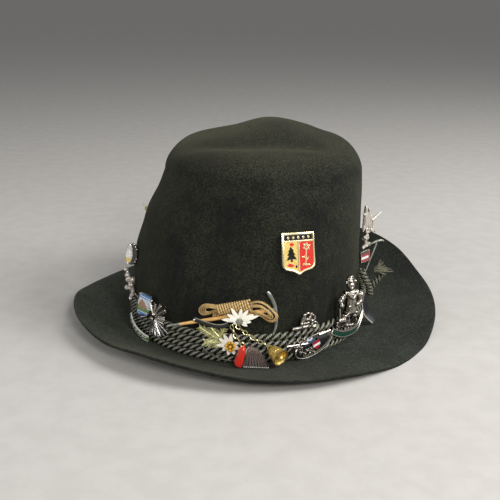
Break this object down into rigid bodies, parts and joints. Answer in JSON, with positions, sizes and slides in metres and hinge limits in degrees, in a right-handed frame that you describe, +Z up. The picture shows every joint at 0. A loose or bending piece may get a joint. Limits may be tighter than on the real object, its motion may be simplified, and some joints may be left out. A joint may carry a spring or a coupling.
{
  "type": "tyrolean hat",
  "caption": "Dark green felt hat with a dented crown, curled brim, twisted cord band and souvenir pins, charms and a small bell",
  "frame": {"origin": "middle of the hat's overall width and depth, on the surface it rests on", "axes": "+Z up, -Y the front of the hat, +X the wearer's left"},
  "size_m": [0.2679, 0.2899, 0.1395],
  "materials": {
    "felt": "dark green velour felt, matt with a soft nap",
    "cord": "twisted dark green rayon cord with a silky shine",
    "cord_tuft": "frayed grey-green cord end",
    "ribbon": "dark blue-black ribbon with a pale edge",
    "rope": "tan braided hemp cord",
    "wood": "varnished light wood",
    "steel": "dull grey steel",
    "leather": "dark worn strap",
    "silver": "cast antique silver finish, dark in the hollows",
    "gilt": "pale gilt",
    "bell_brass": "aged brass, brighter at the lip",
    "petals": "cream enamel",
    "fir_green": "olive patina over cast metal",
    "shield_enamel": "glossy enamel in a pale gold rim",
    "red_enamel": "glossy red and white enamel",
    "black_enamel": "black enamel with silver relief",
    "picture_enamel": "glossy picture enamel in a dark metal frame",
    "banner_enamel": "green enamel with silver rims",
    "charm": "red end blocks with dark bellows"
  },
  "bodies": {
    "root": {"felt_body": "felt", "cord_strand_1": "cord", "cord_strand_2": "cord", "cord_strand_3": "cord", "cord_strand_4": "cord", "shield_badge": "shield_enamel", "axe_shaft": "wood", "axe_head": "steel", "rope_hank": "rope", "leather_strap": "leather", "edelweiss_large": "petals", "edelweiss_small": "petals", "fir_sprigs": "fir_green", "grass_stem": "fir_green", "chain_short": "gilt", "chain_long": "gilt", "accordion_charm": "charm", "cowbell": "bell_brass", "bell_clapper": "bell_brass", "skier_pin": "silver", "mountain_badge": "black_enamel", "enamel_shield": "red_enamel", "walker_figure": "silver", "banner_right": "banner_enamel", "banner_left": "banner_enamel", "picture_pin": "picture_enamel", "pin_needle": "silver", "fir_twigs": "silver", "oval_picture_pin": "picture_enamel", "small_figure": "silver", "round_tack": "gilt", "winged_pin": "silver", "crest_pin": "silver", "side_shield": "red_enamel", "side_axe_pin": "steel", "knot_cord_front": "cord", "knot_cord_back": "cord", "cord_tuft": "cord_tuft", "ribbon_tab": "ribbon"}
  },
  "joints": []
}
